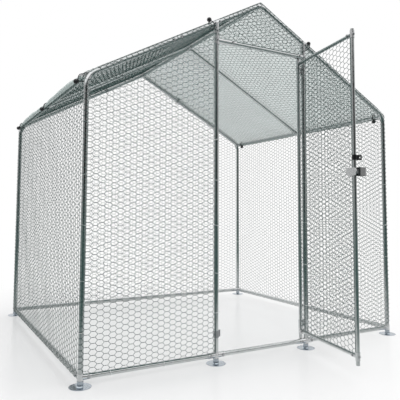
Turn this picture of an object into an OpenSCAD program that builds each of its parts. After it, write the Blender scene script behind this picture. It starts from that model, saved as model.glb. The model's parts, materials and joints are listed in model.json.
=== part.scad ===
// Walk-in chicken run: a gabled frame of bent steel tube with wire netting on
// every side, a sheet tied over the roof, round feet and one swinging door.
// Millimetres, Z up, front towards -Y, origin on the ground under the middle.

/* [Frame] */
// Width between the corner leg axes
run_w = 2040; // [1600:10:3000]
// Depth between the front and back leg axes
run_l = 1760; // [1200:10:3000]
// Height where the leg and rafter axes cross
eave_h = 1445; // [1300:5:1800]
// Height where the two rafter axes cross
ridge_h = 2000; // [1900:5:2400]
// Outside diameter of the frame tubes
tube_d = 25; // [22:0.5:28]
// Wall of every tube
tube_wall = 1; // [0.8:0.1:1.5]
// Bend radius on the tube axis at the eaves
eave_r = 90; // [40:1:100]
// Bend radius on the tube axis at the peaks
peak_r = 60; // [45:1:90]
// Distance up the rafter from the eave to the splice
splice_at = 540; // [300:10:700]
// Length of the swaged end inside a splice
swage_l = 60; // [30:5:90]
// Height of the base rail axes
rail_h = 45; // [42:1:80]

/* [Fittings] */
// Radial clearance of a tube in a fitting
slip = 0.15; // [0.1:0.05:0.3]
// Wall of the tees and sleeves
fit_wall = 2.2; // [1.6:0.1:3]
// Reach of a socket from the axis that it leaves
socket_l = 50; // [40:1:70]
// Reach of the long header socket on the left door post
header_socket_l = 125; // [60:5:160]
// Length of a sleeve that a tube passes through
sleeve_l = 50; // [40:1:70]
// Room between a tube end and the tube that it meets
butt = 1.2; // [0.8:0.1:3]
// Diameter of the round foot plates
foot_d = 104; // [80:2:140]
// Thickness of the foot plates
foot_t = 2.5; // [2:0.5:5]
// Top of the foot sockets
foot_h = 27; // [20:1:27]

/* [Door] */
// Width between the door post axes
door_gap = 618; // [560:2:760]
// Middle of the doorway to the right of the ridge
door_off = 12; // [0:1:40]
// Distance from the rafter at the hinge post down to the door header axis
header_drop = 85; // [80:1:140]
// Outside diameter of the door tubes
door_d = 19; // [16:0.5:22]
// Distance from a door post axis to the door stile beside it
stile_off = 38; // [36:0.5:44]
// Room above and below the door
door_room = 3; // [2:0.5:8]
// Height of the bottom rail of the door
low_rail_h = 106; // [100:1:140]
// Distance from the header axis down to the top rail of the door
top_rail_drop = 46; // [42:1:70]
// Wall of the tees on the door
door_fit_wall = 1.85; // [1.2:0.05:2.5]
// Reach of a door tee socket from the stile axis
door_socket_l = 40; // [30:1:60]
// Length of a door tee along its stile
door_tee_l = 40; // [30:1:50]
// Angle of the door from closed, as it stands open
open_deg = 79; // [0:1:120]

/* [Hinges and latch] */
// Height of a hinge clip
clip_l = 40; // [30:1:60]
// Thickness of the clip band
clip_t = 2; // [1.5:0.1:2.5]
// Radial running clearance of the hinge stile in its clips
hinge_play = 0.3; // [0.2:0.05:0.6]
// Diameter of the clip bolts
clip_bolt_d = 5; // [4:0.5:6]
// Height of the middle of the door stop
stop_h = 152; // [150:1:400]
// Reach of the door stop from the post axis
stop_reach = 33; // [28:1:36]
// Height of the latch shaft
latch_h = 998; // [700:1:1200]
// Height of the padlock eye
eye_h = 1070; // [1060:1:1400]
// Diameter of the latch shaft
shaft_d = 8; // [6:0.5:9]
// Running clearance on the shaft
shaft_play = 0.08; // [0.05:0.01:0.1]
// Length of the latch tongue from the shaft axis
tongue_l = 62; // [60:1:140]
// Reach of the latch handle from the door plane
handle_reach = 52; // [40:1:70]
// Hole in the padlock eye
eye_hole = 10; // [8:0.5:12]

/* [Netting and cover] */
// Distance between the gaps of the netting
net_pitch = 280; // [240:10:400]
// Width of a strand
strand_w = 6; // [4:0.5:10]
// Thickness of the netting
net_t = 1.5; // [1:0.1:2]
// Distance from a rafter or eave axis to the netting edge
net_inset = 27; // [26:1:60]
// Room between the netting and the fittings that it lies on
net_room = 0.3; // [0.2:0.1:0.6]
// Thickness of the roof cover
cover_t = 0.6; // [0.4:0.1:1.5]
// Drop of the cover edge below the eave axis
cover_drop = 14; // [0:1:18]
// Overhang of the cover past the gable tube axes
cover_over = 8; // [4:1:9]
// Radius of the bungee loops on the cord axis
loop_r = 26; // [25:0.5:30]
// Diameter of the bungee cord
cord_d = 4; // [3:0.5:5]
// Diameter of the bungee balls
ball_d = 26; // [22:1:30]
// Hole of the cover eyelets
eyelet_d = 12; // [11:0.5:14]

/* [Hidden] */
$fn = 48;

half_w = run_w / 2;
half_l = run_l / 2;
tube_r = tube_d / 2;
slope = atan2(ridge_h - eave_h, half_w);
rafter_l = norm([half_w, ridge_h - eave_h]);
eave_turn = 90 - slope;
eave_tan = eave_r * tan(eave_turn / 2);
peak_tan = peak_r * tan(slope);
half_bend_x = eave_r - half_w;
bore_d = tube_d + 2 * slip;
fit_d = bore_d + 2 * fit_wall;
fit_r = fit_d / 2;
socket_d = fit_d - 0.4;
swage_d = tube_d - 2 * tube_wall - 2 * slip;
base_sleeve_l = fit_d + 2;
post_l_x = door_off - door_gap / 2;
post_r_x = door_off + door_gap / 2;
hinge_x = post_r_x - stile_off;
door_w = door_gap - 2 * stile_off;
header_h = rafter_z(post_r_x) - header_drop;
top_rail_h = header_h - top_rail_drop;
stile_z0 = rail_h + fit_r + door_room;
stile_z1 = header_h - fit_r - door_room;
door_bore_d = door_d + 2 * slip;
door_fit_d = door_bore_d + 2 * door_fit_wall;
door_fit_r = door_fit_d / 2;
hinge_bore_d = door_d + 2 * hinge_play;
hinge_ring_r = hinge_bore_d / 2 + clip_t;
post_ring_r = bore_d / 2 + clip_t;
seat = 0.3;
clip_low_z = low_rail_h + door_tee_l / 2 + seat + clip_l / 2;
clip_top_z = top_rail_h - door_tee_l / 2 - seat - clip_l / 2;
net_off = fit_r + net_room;
door_net_off = max(door_fit_r, hinge_ring_r) + 2 * net_room;
border_w = 10;
cover_r = net_off + net_t + net_room;
cover_top = cover_r + cover_t;
eyelet_w = 4;
eyelet_t = 1;
eyelet_room = 0.1;
eyelet_at = sqrt(pow(loop_r, 2) - pow(cover_top + eyelet_t / 2, 2));
ball_at = cover_top + seat + ball_d / 2;
hung_ball_at = tube_r + seat + ball_d / 2;
ball_lean = 20;
low_ball = [cover_top, cover_drop] + (seat + ball_d / 2) * [cos(ball_lean), sin(ball_lean)];
low_ball_at = norm(low_ball);
ball_dip = atan2(low_ball[1], low_ball[0]);
shaft_x = door_w + door_d / 2 + 7;
bracket_l = 40;
ear_h = 20;
ear_room = 2.5;
handle_plate_t = 3;
handle_half_l = 15;
strap_w = 42;
strap_t = 3;
tongue_w = 40;
tongue_t = 3;
tongue_y = -(door_net_off + net_t + 2 * seat);
handle_y = door_fit_r + seat;
cut = 1;
steel = [0.72, 0.75, 0.77];
dark_steel = [0.5, 0.54, 0.56];
net_colour = [0.62, 0.68, 0.67];
cover_colour = [0.72, 0.78, 0.76];
black = [0.08, 0.08, 0.09];

// Height of the rafter axis at a distance x from the ridge line
function rafter_z(x) = ridge_h - abs(x) * tan(slope);

// A convex outline cut by the side of a line that holds the points with n * p <= d
function cut_side(p, n, d) = [
    for (i = [0 : len(p) - 1])
        let (a = p[i], b = p[(i + 1) % len(p)], sa = n * a - d, sb = n * b - d)
            each concat(sa <= 0 ? [a] : [], sa * sb < 0 ? [a + (b - a) * sa / (sa - sb)] : [])
];

// A convex outline cut by every side of another one that is drawn in by inset
function cut_all(p, o, inset, i = 0) =
    i == len(o) || len(p) < 3 ? p :
    let (a = o[i], b = o[(i + 1) % len(o)], n = [b[1] - a[1], a[0] - b[0]] / norm(b - a))
        cut_all(cut_side(p, n, n * a - inset), o, inset, i + 1);

// Area of an outline
function area(p) = len(p) < 3 ? 0 :
    abs(sum([for (i = [0 : len(p) - 1]) let (a = p[i], b = p[(i + 1) % len(p)]) cross(a, b)])) / 2;
function sum(v, i = 0) = i == len(v) ? 0 : v[i] + sum(v, i + 1);

// Six-sided gaps that fill an outline, cut off at its border
function gaps(o, gap_r) =
    let (
        lo = [min([for (p = o) p[0]]), min([for (p = o) p[1]])],
        hi = [max([for (p = o) p[0]]), max([for (p = o) p[1]])],
        row = net_pitch * sqrt(3) / 2,
        least = pow(net_pitch, 2) / 14
    )
    [
        for (j = [0 : ceil((hi[1] - lo[1]) / row)])
            for (i = [0 : ceil((hi[0] - lo[0]) / net_pitch)])
                let (
                    c = lo + [(i + (j % 2) / 2) * net_pitch, (j + 0.35) * row],
                    h = [for (k = [0 : 5]) c + gap_r * [sin(60 * k), cos(60 * k)]],
                    g = cut_all(h, o, border_w)
                )
                if (area(g) > least) g
    ];

// A flat net over a convex outline that is given counter-clockwise
module net(outline) {
    holes = gaps(outline, (net_pitch - strand_w) / sqrt(3));
    color(net_colour)
    linear_extrude(net_t)
    difference() {
        polygon(outline);
        for (h = holes) {
            polygon(h);
        }
    }
}

// A net that stands upright across the run at depth y, its back on y
module cross_net(y, outline) {
    translate([0, y, 0])
        rotate([90, 0, 0])
        net(outline);
}

// A straight tube along +Z
module pipe(d, l) {
    difference() {
        cylinder(d = d, h = l);
        translate([0, 0, -cut])
            cylinder(d = d - 2 * tube_wall, h = l + 2 * cut);
    }
}

// A straight frame tube between two points on the X axis or the Y axis
module pipe_x(x0, x1, y, z) {
    translate([x0, y, z])
        rotate([0, 90, 0])
        pipe(tube_d, x1 - x0);
}

module pipe_y(x, y0, y1, z) {
    translate([x, y0, z])
        rotate([-90, 0, 0])
        pipe(tube_d, y1 - y0);
}

// Moves to a point at a distance up the left rafter, with Z turned along it
module on_rafter(at) {
    translate([-half_w + at * cos(slope), 0, eave_h + at * sin(slope)])
        rotate([0, 90 - slope, 0])
        children();
}

// An arc of round bar about the Y axis, from angle a0 over a turn of a
module arc(r, d, a0, a) {
    rotate([90, 0, 0])
        rotate([0, 0, a0])
        rotate_extrude(angle = a)
        translate([r, 0])
        circle(d = d);
}

// Straight bar on from the start of such an arc, between two distances from it
module arc_start(r, d, a0, from, to) {
    rotate([90, 0, 0])
        rotate([0, 0, a0])
        translate([r, -from, 0])
        rotate([90, 0, 0])
        cylinder(d = d, h = to - from);
}

// Straight bar on from the end of such an arc, between two distances from it
module arc_end(r, d, a1, from, to) {
    rotate([90, 0, 0])
        rotate([0, 0, a1])
        translate([r, from, 0])
        rotate([-90, 0, 0])
        cylinder(d = d, h = to - from);
}

// Moves to the centre of the left eave bend
module at_eave_bend() {
    translate([half_bend_x, 0, eave_h - eave_tan])
        children();
}

// Solid bar round the left eave and up the rafter to a length
module eave_bar(d, to) {
    at_eave_bend() {
        arc(eave_r, d, 180 - eave_turn, eave_turn);
        arc_start(eave_r, d, 180 - eave_turn, 0, to - eave_tan);
    }
}

// An upright with the bent tube that stands on its end
module leg(x_side, y) {
    color(steel)
    translate([0, y, 0])
    mirror([x_side > 0 ? 1 : 0, 0, 0]) {
        translate([-half_w, 0, foot_t])
            pipe(tube_d, eave_h - eave_tan - seat - foot_t);
        difference() {
            eave_bar(tube_d, splice_at);
            eave_bar(tube_d - 2 * tube_wall, splice_at + cut);
        }
    }
}

// Moves to the centre of the peak bend
module at_peak_bend() {
    translate([0, 0, ridge_h - peak_r / cos(slope)])
        children();
}

// Solid bar down both slopes from the peak bend, between two distances from its ends
module peak_runs(d, from, to) {
    at_peak_bend() {
        arc_start(peak_r, d, 90 - slope, from, to);
        arc_end(peak_r, d, 90 + slope, from, to);
    }
}

// A bent tube over the peak with swaged ends that slide into the tubes below
module peak(y) {
    shoulder = 3;
    run = rafter_l - peak_tan - splice_at;
    bore = tube_d - 2 * tube_wall;
    color(steel)
    translate([0, y, 0])
    difference() {
        union() {
            at_peak_bend()
                arc(peak_r, tube_d, 90 - slope, 2 * slope);
            peak_runs(tube_d, 0, run);
            peak_runs(swage_d, run - shoulder, run + swage_l);
        }
        at_peak_bend()
            arc(peak_r, bore, 90 - slope, 2 * slope);
        peak_runs(bore, 0, run - shoulder);
        peak_runs(swage_d - 2 * tube_wall, run - shoulder - cut, run + swage_l + cut);
    }
}

module mid_rafter(side) {
    color(steel)
    mirror([side, 0, 0])
        on_rafter(tube_r + butt)
        pipe(tube_d, splice_at - tube_r - butt);
}

// A tee that hugs a bend and holds tubes along Y beyond it
module bend_tee(x, z, ways) {
    difference() {
        union() {
            children(0);
            for (w = ways) {
                translate([x, 0, z])
                    rotate([-90 * w, 0, 0])
                    cylinder(d = fit_d, h = socket_l);
            }
        }
        children(1);
        for (w = ways) {
            translate([x, 0, z])
                rotate([-90 * w, 0, 0])
                translate([0, 0, bore_d / 2 + butt / 2])
                cylinder(d = bore_d, h = socket_l);
        }
    }
}

module eave_tees() {
    trim = eave_turn * (0.5 - 17 / eave_r);
    color(steel)
    for (side = [0, 1], w = [1, -1]) {
        mirror([side, 0, 0])
            translate([0, -w * half_l, 0])
            bend_tee(-half_w, eave_h, [w]) {
                at_eave_bend()
                    arc(eave_r, fit_d, 180 - eave_turn + trim, eave_turn - 2 * trim);
                at_eave_bend()
                    arc(eave_r, bore_d, 180 - eave_turn, eave_turn);
            }
    }
}

module ridge_tees() {
    trim = slope / 3;
    color(steel)
    for (t = [[-half_l, [1]], [0, [1, -1]], [half_l, [-1]]]) {
        translate([0, t[0], 0])
            bend_tee(0, ridge_h, t[1]) {
                at_peak_bend()
                    arc(peak_r, fit_d, 90 - slope + trim, 2 * (slope - trim));
                at_peak_bend()
                    arc(peak_r, bore_d, 90 - slope, 2 * slope);
            }
    }
}

// A sleeve along Z about the origin with sockets along the given turns, its seam turned away from them
module sleeve_tee(l, sockets, stop, seam = 0) {
    difference() {
        union() {
            translate([0, 0, -l / 2])
                rotate([0, 0, seam])
                cylinder(d = fit_d, h = l);
            for (s = sockets) {
                rotate(s[0])
                    cylinder(d = socket_d, h = s[1]);
            }
        }
        translate([0, 0, -l / 2 - cut])
            rotate([0, 0, seam])
            cylinder(d = bore_d, h = l + 2 * cut);
        for (s = sockets) {
            rotate(s[0])
                translate([0, 0, stop])
                cylinder(d = bore_d, h = s[1]);
        }
    }
}

module mid_eave_tees() {
    color(steel)
    for (side = [0, 1]) {
        mirror([side, 0, 0])
            translate([-half_w, 0, eave_h])
            rotate([90, 0, 0])
            sleeve_tee(sleeve_l, [[[0, 90, slope], socket_l]], bore_d / 2);
    }
}

// Height of the door post ends under the rafters
function post_top(x) = rafter_z(x) - tube_r * tan(slope) - bore_d / 2 / cos(slope) - butt;

module post_saddle(x) {
    turn = x < 0 ? 90 - slope : slope - 90;
    down = x < 0 ? 90 + slope : -90 - slope;
    translate([x, -half_l, rafter_z(x)])
        rotate([0, turn, 0])
        sleeve_tee(sleeve_l, [[[0, down, 0], socket_l + 10]], rafter_z(x) - post_top(x));
}

module post_saddles() {
    color(steel)
    for (x = [post_l_x, post_r_x]) {
        post_saddle(x);
    }
}

module header_tees() {
    color(steel)
    for (t = [[post_l_x, 90, header_socket_l], [post_r_x, -90, socket_l]]) {
        translate([t[0], -half_l, header_h])
            sleeve_tee(sleeve_l, [[[0, t[1], 0], t[2]]], bore_d / 2, t[1] + 90);
    }
}

module base_corner_fittings() {
    color(steel)
    for (sx = [1, -1], sy = [1, -1]) {
        sockets = [[[0, -90 * sx, 0], socket_l], [[90 * sy, 0, 0], socket_l]];
        translate([sx * half_w, sy * half_l, rail_h])
            sleeve_tee(base_sleeve_l, sockets, bore_d / 2, sx > 0 ? 0 : 180);
    }
}

module base_post_fittings() {
    color(steel)
    for (x = [post_l_x, post_r_x]) {
        translate([x, -half_l, rail_h])
            sleeve_tee(base_sleeve_l, [[[0, 90, 0], socket_l], [[0, -90, 0], socket_l]], bore_d / 2, 90);
    }
}

// A pressed foot plate with a rolled rim and a socket for the leg
module foot() {
    rim = 1.5;
    rotate_extrude()
        polygon([
            [0, 0], [foot_d / 2 - rim, 0], [foot_d / 2, rim], [foot_d / 2 - rim / 2, foot_t],
            [fit_r + 4, foot_t], [fit_r, foot_t + 4], [fit_r, foot_h], [bore_d / 2, foot_h],
            [bore_d / 2, foot_t], [0, foot_t]
        ]);
}

module feet() {
    color(dark_steel) {
        for (x = [-half_w, half_w], y = [-half_l, half_l]) {
            translate([x, y, 0])
                foot();
        }
        for (x = [post_l_x, post_r_x]) {
            translate([x, -half_l, 0])
                foot();
        }
    }
}

module ridge_tube(y0, y1) {
    color(steel)
        pipe_y(0, y0 + bore_d / 2 + butt, y1 - bore_d / 2 - butt, ridge_h);
}

module eave_tube(x) {
    color(steel)
        pipe_y(x, -half_l + bore_d / 2 + butt, half_l - bore_d / 2 - butt, eave_h);
}

module side_rail(x) {
    color(steel)
        pipe_y(x, -half_l + tube_r + butt, half_l - tube_r - butt, rail_h);
}

module cross_rail(x0, x1, y) {
    color(steel)
        pipe_x(x0 + tube_r + butt, x1 - tube_r - butt, y, rail_h);
}

module door_post(x) {
    color(steel)
        translate([x, -half_l, foot_t])
        pipe(tube_d, post_top(x) - foot_t);
}

module door_header() {
    color(steel)
        pipe_x(post_l_x + tube_r + butt, post_r_x - tube_r - butt, -half_l, header_h);
}

module side_net(x) {
    lo = rail_h;
    hi = eave_h - net_inset;
    translate([x < 0 ? x - net_off - net_t : x + net_off, 0, 0])
        rotate([90, 0, 90])
        net([[-half_l, lo], [half_l, lo], [half_l, hi], [-half_l, hi]]);
}

// Height of a gable net edge under the rafter
function net_z(x) = rafter_z(x) - net_inset / cos(slope);

module back_wall_net() {
    cross_net(half_l + net_off + net_t, [
        [-half_w, rail_h], [half_w, rail_h], [half_w, net_z(half_w)], [0, net_z(0)], [-half_w, net_z(half_w)]
    ]);
}

module front_net(x0, x1) {
    cross_net(-half_l - net_off, [[x0, rail_h], [x1, rail_h], [x1, net_z(x1)], [x0, net_z(x0)]]);
}

module gable_net() {
    x0 = post_l_x + cut;
    x1 = post_r_x - cut;
    cross_net(-half_l - net_off, [
        [x0, header_h], [x1, header_h], [x1, net_z(x1)], [0, net_z(0)], [x0, net_z(x0)]
    ]);
}

module roof_net(side) {
    y1 = half_l - net_inset;
    lo = socket_l - border_w;
    hi = rafter_l - net_inset;
    mirror([side, 0, 0])
        translate([-half_w, 0, eave_h])
        rotate([0, -slope, 0])
        translate([0, 0, net_off])
        net([[lo, -y1], [hi, -y1], [hi, y1], [lo, y1]]);
}

// The roof outline at a distance r outside the eave and ridge axes
module roof_shape(r, drop) {
    out = [half_w + r * sin(slope), eave_h + r * cos(slope)];
    top = [r * sin(slope), ridge_h + r * cos(slope)];
    polygon([
        [-half_w - r, eave_h - drop], [half_w + r, eave_h - drop], [half_w + r, eave_h], out, top,
        [-top[0], top[1]], [-out[0], out[1]], [-half_w - r, eave_h]
    ]);
    for (p = [[-half_w, eave_h], [0, ridge_h], [half_w, eave_h]]) {
        translate(p)
            circle(r);
    }
}

// Depths of the bungees along each eave, and the posts with the place up the rafter of those beside them
eave_bungees = [-half_l + 1.5 * socket_l, -sleeve_l / 2 - 2 * cord_d, half_l - 1.5 * socket_l];
rafter_bungees = [for (x = [post_l_x, post_r_x]) [x, rafter_l - abs(x) / cos(slope) - sleeve_l / 2 - 3 * cord_d]];

module at_eave_bungees() {
    for (side = [0, 1], y = eave_bungees) {
        mirror([side, 0, 0])
            translate([-half_w, y, eave_h])
            children();
    }
}

module at_rafter_bungees() {
    for (b = rafter_bungees, y = [-1, 1]) {
        mirror([b[0] > 0 ? 1 : 0, 0, 0])
            translate([0, y * half_l, 0])
            on_rafter(b[1])
            children();
    }
}

// The hole through the cover for each loop
module eyelet_holes(d, from, to) {
    at_eave_bungees()
        rotate([0, -slope, 0])
        translate([eyelet_at, 0, from])
        cylinder(d = d, h = to - from);
    for (b = rafter_bungees, y = [-1, 1]) {
        mirror([b[0] > 0 ? 1 : 0, 0, 0])
            translate([-half_w, y * (half_l - eyelet_at), eave_h])
            rotate([0, -slope, 0])
            translate([b[1], 0, from])
            cylinder(d = d, h = to - from);
    }
}

module roof_cover() {
    long = run_l + 2 * cover_over;
    color(cover_colour)
    difference() {
        translate([0, long / 2, 0])
            rotate([90, 0, 0])
            linear_extrude(long)
            difference() {
                roof_shape(cover_top, cover_drop);
                roof_shape(cover_r, cover_drop + cut);
                translate([-run_w, eave_h - cover_drop - run_w])
                    square([2 * run_w, run_w]);
            }
        eyelet_holes(eyelet_d, net_off, cover_top + cut);
    }
}

module cover_eyelets() {
    color(steel)
    difference() {
        eyelet_holes(eyelet_d + 2 * eyelet_w, cover_top + eyelet_room, cover_top + eyelet_room + eyelet_t);
        eyelet_holes(eyelet_d, cover_r, cover_top + 2 * eyelet_t);
    }
}

module loop(d) {
    rotate_extrude()
        translate([loop_r, 0])
        circle(d = d);
}

module bungee_loops() {
    color(black) {
        at_eave_bungees()
            rotate([90, 0, 0])
            loop(cord_d);
        at_rafter_bungees()
            loop(cord_d);
    }
}

// A ball on its loop, the loop about Z and the ball towards -X
module ball(at) {
    difference() {
        translate([-at, 0, 0])
            sphere(d = ball_d);
        loop(cord_d + 2 * slip);
    }
}

module bungee_balls() {
    color(black) {
        for (side = [0, 1], y = eave_bungees) {
            mirror([side, 0, 0])
                translate([-half_w, y, eave_h])
                rotate([90, 0, 0])
                rotate([0, 0, side == 0 ? ball_dip : 90])
                ball(side == 0 ? low_ball_at : hung_ball_at);
        }
        at_rafter_bungees()
            ball(ball_at);
    }
}

// A band clip round the right door post and the hinge stile beside it
module hinge_clip(z) {
    bolt_x = (hinge_x + hinge_ring_r + post_r_x - post_ring_r) / 2;
    translate([0, -half_l, z - clip_l / 2])
    difference() {
        union() {
            translate([hinge_x, 0, 0])
                cylinder(r = hinge_ring_r, h = clip_l);
            translate([post_r_x, 0, 0])
                cylinder(r = post_ring_r, h = clip_l);
            translate([hinge_x, -clip_t, 0])
                cube([stile_off, 2 * clip_t, clip_l]);
        }
        translate([hinge_x, 0, -cut])
            cylinder(d = hinge_bore_d, h = clip_l + 2 * cut);
        translate([post_r_x, 0, -cut])
            cylinder(d = bore_d, h = clip_l + 2 * cut);
        for (bz = [clip_l / 4, 3 * clip_l / 4]) {
            translate([bolt_x, 0, bz])
                rotate([90, 0, 0])
                cylinder(d = clip_bolt_d + 2 * slip, h = 4 * clip_t, center = true);
        }
    }
}

module hinge_clips() {
    color(dark_steel)
    for (z = [clip_low_z, clip_top_z]) {
        hinge_clip(z);
    }
}

// The bolts that draw each clip together, with a domed head and a nut
module hinge_bolts() {
    bolt_x = (hinge_x + hinge_ring_r + post_r_x - post_ring_r) / 2;
    head_d = 1.7 * clip_bolt_d;
    head_h = 0.6 * clip_bolt_d;
    color(dark_steel)
    for (z = [clip_low_z, clip_top_z], bz = [-clip_l / 4, clip_l / 4]) {
        translate([bolt_x, -half_l, z + bz])
            rotate([90, 0, 0]) {
                cylinder(d = clip_bolt_d, h = 2 * clip_t + 2, center = true);
                translate([0, 0, clip_t])
                    cylinder(d = head_d, h = head_h);
                translate([0, 0, -clip_t - head_h])
                    cylinder(d = head_d, h = head_h, $fn = 6);
            }
    }
}

// A band on the left door post with a tab behind the closed door
module door_stop() {
    stop_l = 36;
    tab_y = door_d / 2 + 2 * seat;
    color(dark_steel)
    translate([post_l_x, -half_l, stop_h - stop_l / 2])
    difference() {
        union() {
            cylinder(r = post_ring_r, h = stop_l);
            translate([0, tab_y, 0])
                cube([stop_reach, clip_t, stop_l]);
        }
        translate([0, 0, -cut])
            cylinder(d = bore_d, h = stop_l + 2 * cut);
    }
}

// The door is drawn closed along +X from its hinge, its outer face to +Y, then swung open
module on_door() {
    translate([hinge_x, -half_l, 0])
        rotate([0, 0, 180 + open_deg])
        children();
}

module stile(x) {
    color(steel)
    on_door()
        translate([x, 0, stile_z0])
        pipe(door_d, stile_z1 - stile_z0);
}

module door_rail(z) {
    color(steel)
    on_door()
        translate([door_d / 2 + butt, 0, z])
        rotate([0, 90, 0])
        pipe(door_d, door_w - door_d - 2 * butt);
}

module door_tee(x, turn, z) {
    translate([x, 0, z])
    difference() {
        union() {
            translate([0, 0, -door_tee_l / 2])
                rotate([0, 0, turn + 90])
                cylinder(d = door_fit_d, h = door_tee_l);
            rotate([0, turn, 0])
                cylinder(d = door_fit_d, h = door_socket_l);
        }
        translate([0, 0, -door_tee_l / 2 - cut])
            rotate([0, 0, turn + 90])
            cylinder(d = door_bore_d, h = door_tee_l + 2 * cut);
        rotate([0, turn, 0])
            translate([0, 0, door_bore_d / 2])
            cylinder(d = door_bore_d, h = door_socket_l);
    }
}

module door_tees() {
    color(steel)
    on_door()
    for (z = [low_rail_h, top_rail_h], t = [[0, 90], [door_w, -90]]) {
        door_tee(t[0], t[1], z);
    }
}

// The door net lies on the inner face of the door frame
module door_net() {
    on_door()
        translate([0, -door_net_off, 0])
        rotate([90, 0, 0])
        net([[0, low_rail_h], [door_w, low_rail_h], [door_w, top_rail_h], [0, top_rail_h]]);
}

// A band on the latch stile with a flat eye that stands out of the door
module padlock_eye() {
    band_l = 26;
    tab_reach = 43;
    tab_t = 3;
    color(dark_steel)
    on_door()
    translate([door_w, 0, eye_h])
    difference() {
        union() {
            translate([0, 0, -band_l / 2])
                cylinder(d = door_fit_d, h = band_l);
            translate([-tab_t / 2, 0, -band_l / 2])
                cube([tab_t, tab_reach, band_l]);
        }
        translate([0, 0, -band_l / 2 - cut])
            cylinder(d = door_bore_d, h = band_l + 2 * cut);
        translate([0, tab_reach - eye_hole, 0])
            rotate([0, 90, 0])
            cylinder(d = eye_hole, h = 4 * tab_t, center = true);
    }
}

// A band on the latch stile with an ear that carries the latch shaft
module latch_bracket() {
    ear_w = stile_off - tube_r - ear_room;
    color(dark_steel)
    on_door()
    translate([door_w, 0, latch_h])
    difference() {
        union() {
            translate([0, 0, -bracket_l / 2])
                cylinder(d = door_fit_d, h = bracket_l);
            translate([0, -door_fit_r, -ear_h / 2])
                cube([ear_w, door_fit_d, ear_h]);
        }
        translate([0, 0, -bracket_l / 2 - cut])
            cylinder(d = door_bore_d, h = bracket_l + 2 * cut);
        translate([shaft_x - door_w, 0, 0])
            rotate([90, 0, 0])
            cylinder(d = shaft_d + 2 * shaft_play, h = 2 * door_fit_d, center = true);
    }
}

module on_shaft() {
    on_door()
        translate([shaft_x, 0, latch_h])
        children();
}

// The shaft runs through the ear, from the tongue to the handle plate
module latch_shaft() {
    color(steel)
    on_shaft()
        translate([0, tongue_y, 0])
        rotate([-90, 0, 0])
        cylinder(d = shaft_d, h = handle_y - tongue_y);
}

// A wide strap bowed over a flat plate
module latch_handle() {
    bow_y = handle_reach - handle_half_l;
    color(black)
    on_shaft()
        translate([0, 0, -strap_w / 2])
        linear_extrude(strap_w)
        difference() {
            union() {
                translate([0, bow_y])
                    circle(handle_half_l);
                translate([-handle_half_l, handle_y])
                    square([2 * handle_half_l, bow_y - handle_y]);
            }
            translate([0, bow_y])
                circle(handle_half_l - strap_t);
            translate([strap_t - handle_half_l, handle_y + handle_plate_t])
                square([2 * (handle_half_l - strap_t), bow_y - handle_y - handle_plate_t]);
        }
}

// The tongue points at the hinges when the latch is off, and behind the post when it is on
module latch_tongue() {
    color(dark_steel)
    on_shaft()
        translate([0, tongue_y, 0])
        rotate([90, 0, 0])
        linear_extrude(tongue_t) {
            circle(d = tongue_w);
            translate([-tongue_l + tongue_w / 2, -tongue_w / 2])
                square([tongue_l - tongue_w / 2, tongue_w]);
            translate([-tongue_l + tongue_w / 2, 0])
                circle(d = tongue_w);
        }
}

leg(-1, -half_l);  // front_left_leg
leg(1, -half_l);  // front_right_leg
leg(-1, half_l);  // back_left_leg
leg(1, half_l);  // back_right_leg
peak(-half_l);  // front_peak
peak(0);  // mid_peak
peak(half_l);  // back_peak
mid_rafter(0);  // mid_left_rafter
mid_rafter(1);  // mid_right_rafter
ridge_tube(-half_l, 0);  // front_ridge_tube
ridge_tube(0, half_l);  // back_ridge_tube
eave_tube(-half_w);  // left_eave_tube
eave_tube(half_w);  // right_eave_tube
side_rail(-half_w);  // left_base_rail
side_rail(half_w);  // right_base_rail
cross_rail(-half_w, half_w, half_l);  // back_base_rail
cross_rail(-half_w, post_l_x, -half_l);  // front_left_base_rail
cross_rail(post_l_x, post_r_x, -half_l);  // door_sill_rail
cross_rail(post_r_x, half_w, -half_l);  // front_right_base_rail
door_post(post_l_x);  // left_door_post
door_post(post_r_x);  // right_door_post
door_header();
eave_tees();
ridge_tees();
mid_eave_tees();
post_saddles();
header_tees();
base_corner_fittings();
base_post_fittings();
feet();
side_net(-half_w);  // left_wall_net
side_net(half_w);  // right_wall_net
back_wall_net();
front_net(-half_w, post_l_x);  // front_left_net
front_net(post_r_x, half_w);  // front_right_net
gable_net();
roof_net(0);  // left_roof_net
roof_net(1);  // right_roof_net
roof_cover();
cover_eyelets();
bungee_loops();
bungee_balls();
hinge_clips();
hinge_bolts();
door_stop();
stile(0);  // hinge_stile
stile(door_w);  // latch_stile
door_rail(top_rail_h);  // door_top_rail
door_rail(low_rail_h);  // door_bottom_rail
door_tees();
door_net();
padlock_eye();
latch_bracket();
latch_shaft();
latch_handle();
latch_tongue();
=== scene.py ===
"""Chicken run: wire netting, roof cover, ties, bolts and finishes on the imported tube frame."""

import json
import math
import random

import bmesh
import bpy
import numpy as np
from mathutils import Matrix, Vector


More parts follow.
